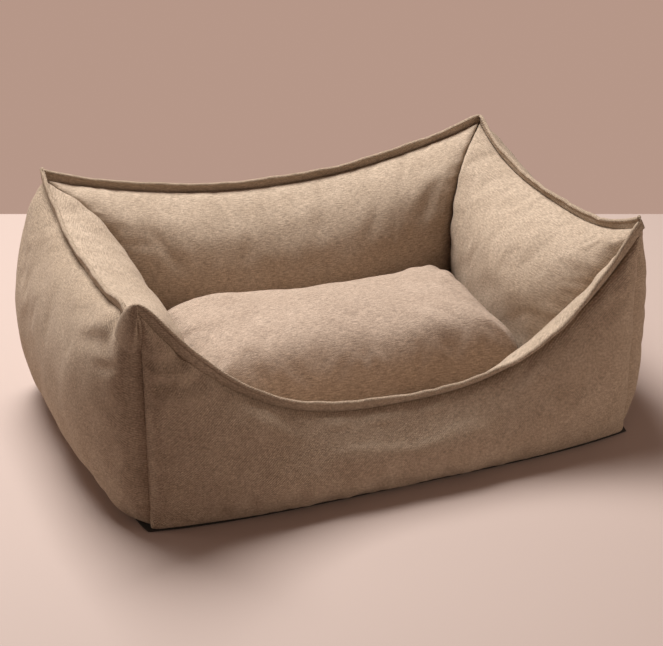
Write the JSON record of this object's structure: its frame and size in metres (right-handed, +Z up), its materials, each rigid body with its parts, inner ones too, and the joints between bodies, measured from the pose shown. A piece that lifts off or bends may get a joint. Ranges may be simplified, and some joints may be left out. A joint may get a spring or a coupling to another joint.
{
  "type": "pet cushion bed",
  "caption": "Bolster-walled fabric pet bed with a low curved front, four pointed corners and a thick loose cushion; zips on the back wall and on the cushion.",
  "frame": {"origin": "on the floor, under the middle of the bed", "axes": "+X along the bed's length to the right, +Y from the low front to the back, +Z up"},
  "size_m": [0.9026, 0.6218, 0.353],
  "materials": {
    "cover_fabric": "woven melange upholstery fabric, matt",
    "lining_fabric": "woven melange upholstery fabric with slubs, matt",
    "cushion_fabric": "woven melange upholstery fabric with slubs, matt",
    "fibre_fill": "white fibre fill in its liner",
    "floor_foam": "foam sheet",
    "base_nonslip": "dark base cloth with rubber dots",
    "zip_tape": "woven polyester tape",
    "zip_coil": "polyester coil",
    "zip_metal": "dull nickel"
  },
  "bodies": {
    "bed": {"front_outer_panel": "cover_fabric", "front_inner_panel": "lining_fabric", "front_flange": "cover_fabric", "front_bolster_fill": "fibre_fill", "back_outer_panel": "cover_fabric", "back_inner_panel": "lining_fabric", "back_flange": "cover_fabric", "back_bolster_fill": "fibre_fill", "left_outer_panel": "cover_fabric", "left_inner_panel": "lining_fabric", "left_flange": "cover_fabric", "left_bolster_fill": "fibre_fill", "right_outer_panel": "cover_fabric", "right_inner_panel": "lining_fabric", "right_flange": "cover_fabric", "right_bolster_fill": "fibre_fill", "back_zip_band": "cover_fabric", "base_cloth": "base_nonslip", "floor_pad": "floor_foam", "floor_lining": "lining_fabric", "bed_zip_tape_upper": "zip_tape", "bed_zip_tape_lower": "zip_tape", "bed_zip_coil_upper": "zip_coil", "bed_zip_coil_lower": "zip_coil", "bed_zip_stop_left": "zip_metal", "bed_zip_stop_right": "zip_metal"},
    "cushion": {"cushion_top_panel": "cushion_fabric", "cushion_bottom_panel": "cushion_fabric", "cushion_core": "fibre_fill", "cushion_zip_tape_upper": "zip_tape", "cushion_zip_tape_lower": "zip_tape", "cushion_zip_coil_upper": "zip_coil", "cushion_zip_coil_lower": "zip_coil", "cushion_zip_stop_left": "zip_metal", "cushion_zip_stop_right": "zip_metal"},
    "bed_zip_slider": {"bed_zip_slider": "zip_metal"},
    "bed_zip_pull": {"bed_zip_pull": "zip_metal"},
    "cushion_zip_slider": {"cushion_zip_slider": "zip_metal"},
    "cushion_zip_pull": {"cushion_zip_pull": "zip_metal"}
  },
  "joints": [
    {"name": "cushion_lift", "type": "slide", "parent": "bed", "child": "cushion", "axis": [0, 0, 1], "range_m": [0, 0.345]},
    {"name": "bed_zip_slide", "type": "slide", "parent": "bed", "child": "bed_zip_slider", "axis": [-1, 0, 0], "range_m": [0, 0.326]},
    {"name": "bed_zip_pull_swing", "type": "hinge", "parent": "bed_zip_slider", "child": "bed_zip_pull", "pos_m": [0.164, 0.30847, 0.03401], "axis": [1, 0, 0], "range_deg": [0, 150]},
    {"name": "cushion_zip_slide", "type": "slide", "parent": "cushion", "child": "cushion_zip_slider", "axis": [-1, 0, 0], "range_m": [0, 0.236]},
    {"name": "cushion_zip_pull_swing", "type": "hinge", "parent": "cushion_zip_slider", "child": "cushion_zip_pull", "pos_m": [0.119, 0.13611, 0.10005], "axis": [1, 0, 0], "range_deg": [0, 35]}
  ]
}
